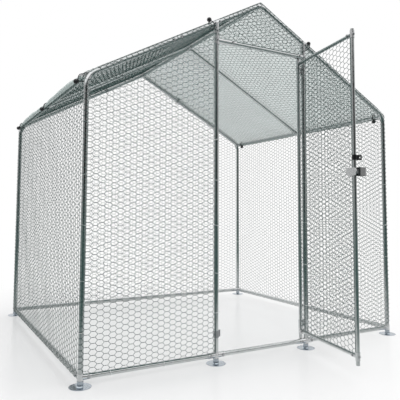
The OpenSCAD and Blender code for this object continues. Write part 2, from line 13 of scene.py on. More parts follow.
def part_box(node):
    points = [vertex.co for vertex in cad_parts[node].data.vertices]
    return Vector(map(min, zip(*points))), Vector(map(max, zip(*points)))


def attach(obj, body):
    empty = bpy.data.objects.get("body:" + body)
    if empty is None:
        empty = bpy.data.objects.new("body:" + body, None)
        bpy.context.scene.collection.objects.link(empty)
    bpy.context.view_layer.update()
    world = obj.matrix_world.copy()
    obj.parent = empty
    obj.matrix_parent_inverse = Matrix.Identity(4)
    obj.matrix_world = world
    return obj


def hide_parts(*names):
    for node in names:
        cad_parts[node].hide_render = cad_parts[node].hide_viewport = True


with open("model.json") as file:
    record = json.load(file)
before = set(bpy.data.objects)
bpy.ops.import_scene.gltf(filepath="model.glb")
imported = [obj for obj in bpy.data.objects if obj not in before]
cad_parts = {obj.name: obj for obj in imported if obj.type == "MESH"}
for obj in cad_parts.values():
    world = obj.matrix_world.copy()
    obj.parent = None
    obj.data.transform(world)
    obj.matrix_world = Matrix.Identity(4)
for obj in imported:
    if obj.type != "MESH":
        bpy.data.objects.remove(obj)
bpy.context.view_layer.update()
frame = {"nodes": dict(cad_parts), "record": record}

bl_info = {
    "name": "Chicken Run",
    "version": (1, 0, 0),
    "blender": (4, 5, 0),
    "location": "3D View > Sidebar > Chicken Run",
    "description": "Hangs netting and a roof cover on the frame of a chicken run and finishes its metal",
    "category": "Object",
}


def middle(node):
    """Middle of a node's box."""
    low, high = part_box(node)
    return (low + high) / 2


# Places of the tube axes, from the CAD, in metres
HALF_W = middle("right_eave_tube").x
HALF_L = -middle("left_door_post").y
EAVE_H = middle("right_eave_tube").z
RIDGE_H = middle("front_ridge_tube").z
RAIL_H = middle("left_base_rail").z
HEADER_H = middle("door_header").z
POST_L = middle("left_door_post").x
POST_R = middle("right_door_post").x
SLOPE = math.atan2(RIDGE_H - EAVE_H, HALF_W)
RAFTER_L = math.hypot(HALF_W, RIDGE_H - EAVE_H)
HINGE = Vector((middle("hinge_stile").x, middle("hinge_stile").y, 0))
LATCH = Vector((middle("latch_stile").x, middle("latch_stile").y, 0))
DOOR_W = (LATCH - HINGE).length
DOOR_ALONG = (LATCH - HINGE).normalized()
DOOR_OUT = Vector((-DOOR_ALONG.y, DOOR_ALONG.x, 0))
DOOR_LOW = middle("door_bottom_rail").z
DOOR_TOP = middle("door_top_rail").z
UP = Vector((0, 0, 1))
CORNERS = [(-HALF_W, -HALF_L), (HALF_W, -HALF_L), (-HALF_W, HALF_L), (HALF_W, HALF_L)]

# Radii of the tubes, of the fittings on them, of the nets and cover round them, and of the eave bends
TUBE_R = 0.0125
DOOR_TUBE_R = 0.0095
FITTING_R = 0.01485
SOCKET_R = 0.01465
DOOR_TEE_R = 0.0115
NET_R = 0.0159
DOOR_NET_R = 0.0125
COVER_R = 0.01725
EAVE_BEND = 0.09

# Distance up a rafter from the eave to the splice
SPLICE_AT = 0.54
# Room that the door's net leaves for the hinge clips
CLIP_ROOM = 0.0077
# Cover past the end hoops, and below the eave axis
COVER_OVER = 0.008
COVER_DROP = 0.014
# Places of the bungees along an eave, and down a rafter from a door post
EAVE_TIES = (-0.805, -0.033, 0.805)
TIE_GAP = 0.037

# Lengths along the cover's section from the ridge line
RIDGE_ARC = COVER_R * SLOPE
EAVE_ARC = COVER_R * (math.pi / 2 - SLOPE)
EAVE_START = RIDGE_ARC + RAFTER_L
EAVE_END = EAVE_START + EAVE_ARC
COVER_HALF = EAVE_END + COVER_DROP


def side_of(x):
    """-1 on the left of the ridge line and 1 on its right."""
    return -1 if x < 0 else 1


def rafter_z(x):
    """Height of the rafter axis at a distance from the ridge line."""
    return RIDGE_H - abs(x) * math.tan(SLOPE)


def rafter_ways(side):
    """The way up a rafter and the way out of the roof there."""
    along = Vector((-side * math.cos(SLOPE), 0, math.sin(SLOPE)))
    return along, Vector((side * math.sin(SLOPE), 0, math.cos(SLOPE)))


# Sizes and colours that a user would change


def length_setting(name, description, default):
    """A length in metres."""
    return bpy.props.FloatProperty(name=name, description=description, default=default, unit="LENGTH")


def angle_setting(name, description, degrees):
    """An angle."""
    return bpy.props.FloatProperty(
        name=name, description=description, default=math.radians(degrees), subtype="ANGLE"
    )


def colour_setting(name, description, default):
    """A colour."""
    return bpy.props.FloatVectorProperty(
        name=name, description=description, default=default, subtype="COLOR", size=3
    )


class NettingSizes(bpy.types.PropertyGroup):
    """Sizes of the wire mesh."""

    column: length_setting("Column", "Distance between columns of cells", 0.0315)
    row: length_setting("Row", "Distance between rows of cells", 0.027)
    twist: length_setting("Twist", "Length of a twisted pair of wires", 0.0215)
    wire: length_setting("Wire", "Diameter of one wire", 0.00176)
    slack: length_setting("Slack", "How far the mesh bulges between its tubes", 0.004)
    wobble: length_setting("Wobble", "How far the cells are pulled out of line", 0.0013)


class CoverSizes(bpy.types.PropertyGroup):
    """Sizes of the roof cover."""

    drop: length_setting("Drop", "Drop of the edge below the eave axis", COVER_DROP)
    droop: length_setting("Droop", "Further drop of the left edge between ties", 0.008)
    puff: length_setting("Puff", "How far the edge stands off between ties", 0.012)
    thickness: length_setting("Thickness", "Thickness of the sheet", 0.0004)


class FinishColours(bpy.types.PropertyGroup):
    """Colours of the finishes."""

    tube: colour_setting("Tube", "Galvanised tube", (0.62, 0.645, 0.645))
    fitting: colour_setting("Fitting", "Bright fittings", (0.72, 0.73, 0.735))
    hardware: colour_setting("Hardware", "Zinc plated bands", (0.36, 0.37, 0.38))
    foot: colour_setting("Foot", "Bluish foot plates", (0.5, 0.56, 0.62))
    wire: colour_setting("Wire", "Netting wire", (0.04, 0.083, 0.077))
    cover: colour_setting("Cover", "Roof cover", (0.635, 0.745, 0.72))
    floor: colour_setting("Floor", "Studio floor", (0.93, 0.93, 0.93))


class StageSettings(bpy.types.PropertyGroup):
    """Camera and light."""

    lens: bpy.props.FloatProperty(
        name="Lens", description="Focal length in millimetres", default=44.59, unit="CAMERA"
    )
    yaw: angle_setting("Yaw", "Turn from straight ahead", 29.457)
    pitch: angle_setting("Pitch", "Tilt of the camera upwards", 4.12)
    roll: angle_setting("Roll", "Roll of the camera", 0.259)
    eye: bpy.props.FloatVectorProperty(
        name="Eye", description="Place of the camera", default=(-1.6883, -3.1642, 0.8067),
        subtype="TRANSLATION", size=3,
    )
    rise: bpy.props.FloatProperty(name="Rise", description="Vertical shift of the frame", default=-0.06455)
    ambient: bpy.props.FloatProperty(name="Ambient", description="Strength of the even light", default=0.9)
    key: bpy.props.FloatProperty(
        name="Key", description="Power of the large soft light in watts", default=75, unit="POWER"
    )


SETTINGS = {
    "run_netting": NettingSizes,
    "run_cover": CoverSizes,
    "run_finish": FinishColours,
    "run_stage": StageSettings,
}


# Shader nodes


def fill(tree, made, inputs):
    """A node with its inputs set or linked."""
    for key, value in inputs.items():
        if isinstance(value, bpy.types.NodeSocket):
            tree.links.new(value, made.inputs[key])
        else:
            made.inputs[key].default_value = value
    return made


def node(tree, kind, inputs, **values):
    """A new node with its properties and its inputs."""
    made = tree.nodes.new(kind)
    for key, value in values.items():
        setattr(made, key, value)
    return fill(tree, made, inputs)


def calc(tree, operation, *values):
    """The result of an operation on values."""
    return node(tree, "ShaderNodeMath", dict(enumerate(values)), operation=operation).outputs[0]


def vector_calc(tree, operation, output, *values):
    """A result of an operation on vectors."""
    return node(tree, "ShaderNodeVectorMath", dict(enumerate(values)), operation=operation).outputs[output]


def split(tree, vector):
    """The X, Y and Z of a vector."""
    return node(tree, "ShaderNodeSeparateXYZ", {"Vector": vector}).outputs


def ramp(tree, source, low, high, out_low, out_high):
    """A value mapped from one range to another."""
    inputs = {"Value": source, "From Min": low, "From Max": high, "To Min": out_low, "To Max": out_high}
    return node(tree, "ShaderNodeMapRange", inputs, clamp=True).outputs["Result"]


def mix(tree, factor, first, second, blend="MIX"):
    """Two colours mixed by a factor."""
    made = node(tree, "ShaderNodeMix", {0: factor}, data_type="RGBA", blend_type=blend)
    ends = [c if isinstance(c, bpy.types.NodeSocket) else (*c[:3], 1) for c in (first, second)]
    return fill(tree, made, {6: ends[0], 7: ends[1]}).outputs[2]


def noise(tree, where, scale, detail, rough=0.5, output="Fac"):
    """Cloudy noise."""
    inputs = {"Vector": where, "Scale": scale, "Detail": detail, "Roughness": rough}
    return node(tree, "ShaderNodeTexNoise", inputs).outputs[output]


def bump(tree, height, strength, distance, under=None):
    """The normal of a surface raised by a height, over another normal if there is one."""
    inputs = {"Strength": strength, "Distance": distance, "Height": height}
    if under is not None:
        inputs["Normal"] = under
    return node(tree, "ShaderNodeBump", inputs).outputs["Normal"]


def tint(colour, share):
    """A colour made darker or lighter."""
    return [c * share for c in colour]


# Shared shader groups


def shader_group(name, setting, default, outputs):
    """A new node group with a place and one setting going in and values coming out, and its two ends."""
    group = bpy.data.node_groups.new(name, "ShaderNodeTree")
    group.interface.new_socket("Vector", in_out="INPUT", socket_type="NodeSocketVector")
    made = group.interface.new_socket(setting, in_out="INPUT", socket_type="NodeSocketFloat")
    made.default_value = default
    for output in outputs:
        group.interface.new_socket(output, in_out="OUTPUT", socket_type="NodeSocketFloat")
    return group, group.nodes.new("NodeGroupInput").outputs, group.nodes.new("NodeGroupOutput")


def spangle_group():
    """Zinc crystals, fine grain and soft stains."""
    group, inside, outside = shader_group("zinc_spangle", "Crystals", 110.0, ("Patch", "Grain", "Stain"))
    where = inside["Vector"]
    pushed = mix(group, 0.012, where, noise(group, where, 160.0, 1.0, output="Color"), "ADD")
    cells = node(group, "ShaderNodeTexVoronoi", {"Vector": pushed, "Scale": inside["Crystals"]})
    parts = node(group, "ShaderNodeSeparateColor", {"Color": cells.outputs["Color"]})
    fill(group, outside, {
        "Patch": parts.outputs["Red"],
        "Grain": noise(group, where, 900.0, 3.0),
        "Stain": noise(group, where, 7.0, 4.0, 0.65),
    })
    return group


def ground_dust_group():
    """Dust that thins out with height."""
    group, inside, outside = shader_group("ground_dust", "Height", 0.12, ("Dust",))
    fade = ramp(group, split(group, inside["Vector"])["Z"], 0.0, inside["Height"], 1.0, 0.0)
    specks = noise(group, inside["Vector"], 60.0, 5.0)
    fill(group, outside, {"Dust": calc(group, "MULTIPLY", fade, specks)})
    return group


def weave_group():
    """Flat tapes that cross over and under, in metres of the surface's own map."""
    group, inside, outside = shader_group("tape_weave", "Tape", 330.0, ("Height", "Gap"))
    parts = split(group, inside["Vector"])
    tapes = []
    for axis in ("X", "Y"):
        turns = calc(group, "MULTIPLY", parts[axis], inside["Tape"])
        tapes.append(calc(group, "SINE", calc(group, "MULTIPLY", turns, math.pi)))
    over = calc(group, "MULTIPLY", *tapes)
    fill(group, outside, {
        "Height": calc(group, "MULTIPLY_ADD", over, 0.5, 0.5),
        "Gap": ramp(group, calc(group, "ABSOLUTE", over), 0.0, 0.25, 1.0, 0.0),
    })
    return group


GROUPS = {"spangle": spangle_group(), "dust": ground_dust_group(), "weave": weave_group()}


def shared(tree, key, **inputs):
    """The outputs of a shared group placed in a material."""
    return node(tree, "ShaderNodeGroup", inputs, node_tree=GROUPS[key]).outputs


# Finishes


def blank_material(name):
    """A material with its tree, its shader and its object coordinates."""
    made = bpy.data.materials.new(name)
    made.use_nodes = True
    tree = made.node_tree
    where = tree.nodes.new("ShaderNodeTexCoord").outputs["Object"]
    return made, tree, tree.nodes["Principled BSDF"], where


def zinc(name, colour, crystals, patch, rough, dusty=0.0):
    """Zinc coated steel: crystals, stains, fine grain and some dust near the ground."""
    made, tree, shader, where = blank_material(name)
    spangle = shared(tree, "spangle", Vector=where, Crystals=crystals)
    base = mix(tree, spangle["Patch"], tint(colour, 1 - patch), tint(colour, 1 + patch * 0.6))
    base = mix(tree, ramp(tree, spangle["Stain"], 0.45, 0.75, 0.0, 0.35), base, tint(colour, 0.72))
    if dusty:
        dust = shared(tree, "dust", Vector=where, Height=0.16)["Dust"]
        base = mix(tree, ramp(tree, dust, 0.1, 0.7, 0.0, dusty), base, (0.46, 0.45, 0.42))
    dull = ramp(tree, spangle["Grain"], 0.3, 0.7, rough, rough + 0.06)
    fill(tree, shader, {
        "Base Color": base,
        "Roughness": calc(tree, "MULTIPLY_ADD", spangle["Patch"], 0.06, dull),
        "Normal": bump(tree, spangle["Grain"], 0.08, 0.0004),
        "Metallic": 1.0,
    })
    return made


def wire_material(name, colour):
    """Dull zinc on drawn wire, patchy, with bright rubbed spots."""
    made, tree, shader, where = blank_material(name)
    spangle = shared(tree, "spangle", Vector=where, Crystals=420.0)
    base = mix(tree, spangle["Patch"], tint(colour, 0.7), tint(colour, 1.45))
    fill(tree, shader, {
        "Base Color": mix(tree, ramp(tree, spangle["Stain"], 0.55, 0.85, 0.0, 0.3), base, tint(colour, 2.4)),
        "Roughness": ramp(tree, spangle["Grain"], 0.3, 0.7, 0.38, 0.6),
        "Normal": bump(tree, spangle["Grain"], 0.1, 0.0002),
        "Metallic": 0.2,
    })
    return made


def cover_material(colour):
    """Coated woven sheet that lets light through, with a denser hem."""
    made, tree, shader, where = blank_material("woven_cover")
    hem_width, hem_blur = 0.02, 0.002
    flat = node(tree, "ShaderNodeUVMap", {}, uv_map="flat_sheet").outputs["UV"]
    weave = shared(tree, "weave", Vector=flat, Tape=310.0)
    parts = split(tree, flat)
    bands = []
    for axis, edge in (("X", COVER_HALF), ("Y", HALF_L + COVER_OVER)):
        far = calc(tree, "ABSOLUTE", parts[axis])
        bands.append(ramp(tree, far, edge - hem_width - hem_blur, edge - hem_width, 0.0, 1.0))
    hem = calc(tree, "MAXIMUM", *bands)
    crease = noise(tree, where, 16.0, 3.0, 0.55)
    cloudy = ramp(tree, noise(tree, where, 2.6, 5.0, 0.6), 0.3, 0.7, 0.0, 1.0)
    base = mix(tree, cloudy, tint(colour, 0.9), tint(colour, 1.08))
    base = mix(tree, ramp(tree, weave["Gap"], 0.0, 1.0, 0.0, 0.3), base, tint(colour, 1.25))
    threads = bump(tree, calc(tree, "MULTIPLY_ADD", hem, 0.8, weave["Height"]), 0.35, 0.0003)
    fill(tree, shader, {
        "Base Color": mix(tree, hem, base, tint(colour, 0.7)),
        "Roughness": ramp(tree, crease, 0.3, 0.7, 0.4, 0.6),
        "Alpha": calc(tree, "MULTIPLY_ADD", hem, 0.25, ramp(tree, weave["Gap"], 0.0, 1.0, 0.36, 0.26)),
        "Normal": bump(tree, crease, 0.5, 0.004, threads),
    })
    return made


def moulded_black(name, colour, rough, scale):
    """Moulded black with a fine skin and faint scuffs."""
    made, tree, shader, where = blank_material(name)
    scuff = noise(tree, where, scale * 0.12, 3.0)
    worn = [c + 0.01 for c in tint(colour, 2.2)]
    fill(tree, shader, {
        "Base Color": mix(tree, ramp(tree, scuff, 0.55, 0.8, 0.0, 0.5), colour, worn),
        "Roughness": ramp(tree, scuff, 0.35, 0.75, rough, rough + 0.18),
        "Normal": bump(tree, noise(tree, where, scale, 4.0), 0.12, 0.0003),
    })
    return made


def elastic_material():
    """Braided elastic cord: crossed strands round the cord."""
    made, tree, shader, _ = blank_material("braided_elastic")
    strands = node(tree, "ShaderNodeUVMap", {}, uv_map="braid").outputs["UV"]
    height = shared(tree, "weave", Vector=strands, Tape=1.0)["Height"]
    fill(tree, shader, {
        "Base Color": mix(tree, height, (0.01, 0.01, 0.011), (0.045, 0.045, 0.05)),
        "Roughness": ramp(tree, height, 0.0, 1.0, 0.75, 0.5),
        "Normal": bump(tree, height, 0.6, 0.0004),
    })
    return made


# Making pieces


def mesh_from(bm, name):
    """A mesh with the shape of a bmesh, which is freed."""
    mesh = bpy.data.meshes.new(name)
    bm.to_mesh(mesh)
    bm.free()
    return mesh


def in_scene(name, data):
    """A new object in the scene."""
    made = bpy.data.objects.new(name, data)
    bpy.context.scene.collection.objects.link(made)
    return made


def piece(mesh, material, body, sharp=0):
    """An object named for its mesh, riding on a body and smooth, but for edges past a sharp angle."""
    mesh.materials.append(material)
    mesh.shade_smooth()
    if sharp:
        mesh.set_sharp_from_angle(angle=math.radians(sharp))
    made = in_scene(mesh.name, mesh)
    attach(made, body)
    return made


def finish_node(material, name):
    """Gives a material to a CAD node."""
    target = frame["nodes"][name]
    if not target.material_slots:
        target.data.materials.append(material)
    for place in target.material_slots:
        place.material = material


def turned(direction, spin=0.0):
    """Turns Z to a direction, after a spin about Z."""
    return Vector(direction).to_track_quat("Z", "Y").to_matrix().to_4x4() @ Matrix.Rotation(spin, 4, "Z")


def vertex_array(mesh):
    """The vertices of a mesh as an array."""
    flat = np.zeros(len(mesh.vertices) * 3, np.float32)
    mesh.vertices.foreach_get("co", flat)
    return flat.reshape(-1, 3).astype(float)


def move_vertices(mesh, points):
    """Puts the vertices of a mesh at the points of an array."""
    mesh.vertices.foreach_set("co", points.astype(np.float32).ravel())


def waves(rng, points, count, shortest, longest):
    """A smooth random height from -1 to 1 at each point of a plane."""
    total = np.zeros(len(points))
    for _ in range(count):
        length = math.exp(rng.uniform(math.log(shortest), math.log(longest)))
        turn, phase = rng.uniform(0, math.tau), rng.uniform(0, math.tau)
        along = points[:, 0] * math.cos(turn) + points[:, 1] * math.sin(turn)
        total += np.sin(along * math.tau / length + phase)
    return total / count


def smooth(share):
    """A share from 0 to 1 that starts and ends gently."""
    return share * share * (3 - 2 * share)


def bell(distance, width):
    """1 at no distance, and near 0 from about two widths on."""
    return math.exp(-((distance / width) ** 2))


# Netting

# Thickness of a twisted pair of wires, as a share of its width
PAIR_FLAT = 0.55
# In wire diameters: half the width of a twisted pair, the radius of a single wire drawn with three sides, the
# radius of an edge wire, how far a single wire runs into a twist, and an edge's distance from its tube
PAIR_HALF, SINGLE_R, EDGE_R, TUCK, EDGE_OFF = 0.85, 0.7, 1.2, 0.6, 0.6
# A net's edge that stops on the face of its tube, and where it does so, in shares of the tube's radius
HUG = None
HUG_IN, HUG_UP = 0.72, 0.694
# Mesh made past an outline before it is cut, and how far inside the edges it bulges fully or leaves its tube
SPARE = 0.06
BULGE_IN = 0.14
HUG_ROOM = 0.03
# Degrees that the nets wrap round the base rails, legs, eave bends, rafters and end hoops
RAIL_WRAP, LEG_WRAP, BEND_WRAP, RAFTER_WRAP, HOOP_WRAP = 130, 75, 60, 45, 25
BEND_WRAPS = (BEND_WRAP, BEND_WRAP, BEND_WRAP)


def twisted_pair(bm, start, length, wire):
    """Two wires wound round each other, along X from a point."""
    ring = bmesh.ops.create_circle(bm, cap_ends=True, radius=wire * PAIR_HALF, segments=4)["verts"]
    bmesh.ops.scale(bm, vec=(1, PAIR_FLAT, 1), verts=ring)
    where = Matrix.Translation(start) @ Matrix.Rotation(math.pi / 2, 4, "Y")
    bmesh.ops.transform(bm, matrix=where, verts=ring)
    face = ring[0].link_faces[0]
    quarter = Matrix.Rotation(math.pi / 2, 3, "X")
    for _ in range(2):
        grown = bmesh.ops.extrude_face_region(bm, geom=[face])["geom"]
        face = next(g for g in grown if isinstance(g, bmesh.types.BMFace))
        bmesh.ops.translate(bm, vec=(length / 2, 0, 0), verts=face.verts)
        bmesh.ops.rotate(bm, cent=(start[0], start[1], 0), matrix=quarter, verts=face.verts)


def straight_wire(bm, start, end, radius, sides):
    """A plain wire between two points."""
    run = Vector(end) - Vector(start)
    where = Matrix.Translation((Vector(start) + Vector(end)) / 2) @ turned(run)
    bmesh.ops.create_cone(
        bm, cap_ends=True, segments=sides, radius1=radius, radius2=radius, depth=run.length, matrix=where
    )


def mesh_field(sizes, width, height):
    """A flat field of six-sided mesh that covers a width and a height from the origin."""
    bm = bmesh.new()
    half = sizes.twist / 2
    tuck = sizes.wire * TUCK
    for x, y in ((0, 0), (sizes.column, sizes.row / 2)):
        twisted_pair(bm, (x - half, y, 0), sizes.twist, sizes.wire)
        for way in (1, -1):
            end = (x + sizes.column - half + tuck, y + way * sizes.row / 2, 0)
            straight_wire(bm, (x + half - tuck, y, 0), end, sizes.wire * SINGLE_R, 3)
    bmesh.ops.recalc_face_normals(bm, faces=bm.faces)
    tile = mesh_from(bm, "mesh_tile")
    holder = in_scene("mesh_tile", tile)
    for step, reach in (((2 * sizes.column, 0, 0), width), ((0, sizes.row, 0), height)):
        rows = holder.modifiers.new("Repeat", "ARRAY")
        rows.use_relative_offset = False
        rows.use_constant_offset = True
        rows.constant_offset_displace = step
        rows.count = math.ceil(reach / max(step)) + 2
    field = bpy.data.meshes.new_from_object(holder.evaluated_get(bpy.context.evaluated_depsgraph_get()))
    bpy.data.objects.remove(holder)
    bpy.data.meshes.remove(tile)
    return field


def panel_edges(panel, tube):
    """A panel's edges, each a way out, a place and a wrap in radians, and the numbers of those that hug."""
    outline = [Vector(p) for p in panel["outline"]]
    edges, hugs = [], []
    for i, (a, wrap) in enumerate(zip(outline, panel["wraps"])):
        b = outline[(i + 1) % len(outline)]
        out = Vector((b.y - a.y, a.x - b.x)).normalized()
        if wrap is HUG:
            edges.append((out, out.dot(a) - HUG_IN * tube, 0.0))
            hugs.append(i)
        else:
            edges.append((out, out.dot(a), math.radians(wrap)))
    return edges, hugs


def crossing(first, second):
    """The point of the panel's plane where two of its edges cross."""
    (a, at), (b, bt) = first[:2], second[:2]
    across = a.x * b.y - a.y * b.x
    return Vector(((at * b.y - bt * a.y) / across, (bt * a.x - at * b.x) / across, 0))


def pulled_field(sizes, outline, rng):
    """A field of mesh over an outline, with its cells pulled a little out of line."""
    low = Vector((min(p[0] for p in outline) - SPARE, min(p[1] for p in outline) - SPARE))
    high = Vector((max(p[0] for p in outline) + SPARE, max(p[1] for p in outline) + SPARE))
    field = mesh_field(sizes, high.x - low.x, high.y - low.y)
    points = vertex_array(field)
    for axis in (0, 1):
        points[:, axis] += low[axis] + rng.uniform(-0.02, 0.0)
    for axis in (0, 1):
        shift = 0.55 * waves(rng, points, 5, 0.07, 0.12) + waves(rng, points, 4, 0.25, 0.7)
        points[:, axis] += sizes.wobble * shift
    move_vertices(field, points)
    return field


def cut_field(name, sizes, field, edges, hugs, radius):
    """A field of mesh cut to a panel's edges, with a wire along each edge that hugs its tube."""
    bm = bmesh.new()
    bm.from_mesh(field)
    bpy.data.meshes.remove(field)
    for out, at, wrap in edges:
        bmesh.ops.bisect_plane(
            bm, geom=bm.verts[:] + bm.edges[:] + bm.faces[:], dist=1e-7, clear_outer=True,
            plane_co=(*(out * (at + wrap * radius)), 0), plane_no=(*out, 0),
        )
    bmesh.ops.holes_fill(bm, edges=[e for e in bm.edges if e.is_boundary], sides=8)
    for i in hugs:
        ends = [crossing(edges[i], edges[(i + step) % len(edges)]) for step in (-1, 1)]
        straight_wire(bm, ends[0], ends[1], sizes.wire * EDGE_R, 5)
    return mesh_from(bm, name)


def net_mesh(name, sizes, panel, seed):
    """The netting of one panel: cut to its outline, slack inside it, wrapped round its tubes and in place."""
    rng = random.Random(seed)
    radius, tube = panel.get("radius", NET_R), panel.get("tube", TUBE_R)
    edges, hugs = panel_edges(panel, tube)
    mesh = cut_field(name, sizes, pulled_field(sizes, panel["outline"], rng), edges, hugs, radius)
    points = vertex_array(mesh)
    inside = np.array([at - points[:, :2] @ np.array(out) for out, at, _ in edges])
    least, most = panel.get("bulge", (-1.0, 1.0))
    bulge = least + (waves(rng, points, 6, 0.25, 0.9) * 0.5 + 0.5) * (most - least)
    points[:, 2] += radius + sizes.slack * bulge * smooth(np.clip(inside.min(axis=0) / BULGE_IN, 0, 1))
    if hugs:
        dip = smooth(np.clip(1 - inside[hugs].min(axis=0) / HUG_ROOM, 0, 1))
        points[:, 2] -= dip * (radius - HUG_UP * tube - sizes.wire * EDGE_OFF)
    for out, at, wrap in edges:
        if wrap:
            way = np.array(out)
            past = points[:, :2] @ way - at
            over = past > 0
            turn = past[over] / radius
            height = points[over, 2].copy()
            points[over, :2] += np.outer(height * np.sin(turn) - past[over], way)
            points[over, 2] = height * np.cos(turn)
    across, up = Vector(panel["across"]), Vector(panel["up"])
    basis = np.array([across, up, across.cross(up)])
    move_vertices(mesh, points @ basis + np.array(panel["origin"]))
    mesh.update()
    return mesh


def eave_bend(side):
    """Points round the bend of a gable hoop at an eave, going round the panel against the clock."""
    turn = math.pi / 2 - SLOPE
    centre = Vector((HALF_W - EAVE_BEND, EAVE_H - EAVE_BEND * math.tan(turn / 2)))
    angles = (0, turn / 3, turn * 2 / 3, turn)
    points = [centre + EAVE_BEND * Vector((math.cos(a), math.sin(a))) for a in angles]
    return points if side > 0 else [Vector((-p.x, p.y)) for p in reversed(points)]


def panels():
    """The netted panels: the plane of their tube axes, their outline and how each edge meets its tube."""
    left_top, right_top = (POST_L, rafter_z(POST_L)), (POST_R, rafter_z(POST_R))
    front = {"across": (1, 0, 0), "up": UP, "origin": (0, -HALF_L, 0)}
    wall = {
        "up": UP, "wraps": (RAIL_WRAP, 0, 0, 0),
        "outline": [(-HALF_L, RAIL_H), (HALF_L, RAIL_H), (HALF_L, EAVE_H), (-HALF_L, EAVE_H)],
    }
    roof = {
        "wraps": (90 - math.degrees(SLOPE), HOOP_WRAP, math.degrees(SLOPE), HOOP_WRAP), "bulge": (-1.6, 0.0),
        "outline": [(-HALF_L, 0), (HALF_L, 0), (HALF_L, RAFTER_L), (-HALF_L, RAFTER_L)],
    }
    return {
        "left_wall_netting": {
            **wall, "node": "left_wall_net", "across": (0, -1, 0), "origin": (-HALF_W, 0, 0),
        },
        "right_wall_netting": {
            **wall, "node": "right_wall_net", "across": (0, 1, 0), "origin": (HALF_W, 0, 0),
        },
        "back_wall_netting": {
            "node": "back_wall_net", "across": (-1, 0, 0), "up": UP, "origin": (0, HALF_L, 0),
            "outline": [(-HALF_W, RAIL_H), (HALF_W, RAIL_H), *eave_bend(1), (0, RIDGE_H), *eave_bend(-1)],
            "wraps": (RAIL_WRAP, LEG_WRAP, *BEND_WRAPS, RAFTER_WRAP, RAFTER_WRAP, *BEND_WRAPS, LEG_WRAP),
        },
        "front_left_netting": {
            **front, "node": "front_left_net",
            "outline": [(-HALF_W, RAIL_H), (POST_L, RAIL_H), left_top, *eave_bend(-1)],
            "wraps": (HUG, HUG, RAFTER_WRAP, *BEND_WRAPS, LEG_WRAP),
        },
        "front_right_netting": {
            **front, "node": "front_right_net",
            "outline": [(POST_R, RAIL_H), (HALF_W, RAIL_H), *eave_bend(1), right_top],
            "wraps": (HUG, LEG_WRAP, *BEND_WRAPS, RAFTER_WRAP, HUG),
        },
        "gable_netting": {
            **front, "node": "gable_net",
            "outline": [(POST_L, HEADER_H), (POST_R, HEADER_H), right_top, (0, RIDGE_H), left_top],
            "wraps": (HUG, HUG, RAFTER_WRAP, RAFTER_WRAP, HUG),
        },
        "left_roof_netting": {
            **roof, "node": "left_roof_net", "across": (0, -1, 0), "up": rafter_ways(-1)[0],
            "origin": (-HALF_W, 0, EAVE_H),
        },
        "right_roof_netting": {
            **roof, "node": "right_roof_net", "across": (0, 1, 0), "up": rafter_ways(1)[0],
            "origin": (HALF_W, 0, EAVE_H),
        },
        "door_netting": {
            "node": "door_net", "across": DOOR_ALONG, "up": UP, "origin": HINGE, "body": "door",
            "outline": [(CLIP_ROOM, DOOR_LOW), (DOOR_W, DOOR_LOW), (DOOR_W, DOOR_TOP), (CLIP_ROOM, DOOR_TOP)],
            "wraps": (HUG, HUG, HUG, HUG), "bulge": (-1.0, 0.0), "radius": DOOR_NET_R, "tube": DOOR_TUBE_R,
        },
    }


# Ties and bolts


def wire_loop(bm, centre, axis, reach, wire, spin):
    """A tie of thin wire round a tube, with its ends twisted to a short tail."""
    before = set(bm.verts)
    ring = bmesh.ops.create_circle(bm, radius=wire, segments=5)["verts"]
    stand = Matrix.Translation((reach, 0, 0)) @ Matrix.Rotation(math.pi / 2, 4, "X")
    bmesh.ops.transform(bm, matrix=stand, verts=ring)
    edges = list(dict.fromkeys(e for v in ring for e in v.link_edges))
    bmesh.ops.spin(
        bm, geom=ring + edges, cent=(0, 0, 0), axis=(0, 0, 1), angle=math.tau, steps=16, use_merge=True
    )
    tail = Matrix.Translation((reach + 0.001, 0.004, 0)) @ Matrix.Rotation(-1.2, 4, "X")
    bmesh.ops.create_cone(
        bm, cap_ends=True, segments=5, radius1=wire * 1.7, radius2=wire * 0.9, depth=0.012, matrix=tail
    )
    tilt = Matrix.Rotation(0.18, 4, "X")
    where = Matrix.Translation(centre) @ turned(axis, spin) @ tilt
    bmesh.ops.transform(bm, matrix=where, verts=[v for v in bm.verts if v not in before])


def bolt(bm, foot, direction, across):
    """A hexagon head on a washer, standing on a surface."""
    where = Matrix.Translation(foot) @ turned(direction, 0.3)
    washer_up, head_up = 0.0003, 0.001 + across * 0.22
    head_r, chamfer = across * 0.58, across * 0.07
    bmesh.ops.create_cone(
        bm, cap_ends=True, segments=14, radius1=across * 0.95, radius2=across * 0.9, depth=0.0014,
        matrix=where @ Matrix.Translation((0, 0, washer_up)),
    )
    head = bmesh.ops.create_cone(
        bm, cap_ends=True, segments=6, radius1=head_r, radius2=head_r, depth=across * 0.45,
        matrix=where @ Matrix.Translation((0, 0, head_up)),
    )["verts"]
    faces = (f for v in head for f in v.link_faces)
    top = max(faces, key=lambda f: f.calc_center_median().dot(Vector(direction)))
    bmesh.ops.bevel(
        bm, geom=list(top.edges), offset=chamfer, segments=1, affect="EDGES", profile=0.5, material=-1
    )


# Roof cover and bungees

# Lengths over which the sheet comes loose from a tie, from the eave and from an end hoop
TIE_HOLD, EAVE_HOLD, END_HOLD = 0.14, 0.09, 0.09
# Lift of the sheet off the roof net: everywhere, in its broad waves and in its ripples
LIFT, BROAD_LIFT, RIPPLE_LIFT = 0.0012, 0.0035, 0.002
# Dip of the ends of the sheet over the eave bends, its lengths along and across, and dip past the hoop
BEND_DIP, BEND_ALONG, BEND_ACROSS, EDGE_DIP = 0.011, 0.045, 0.05, 0.002
# Share of the left edge's droop that the right edge has
RIGHT_DROOP = 0.2
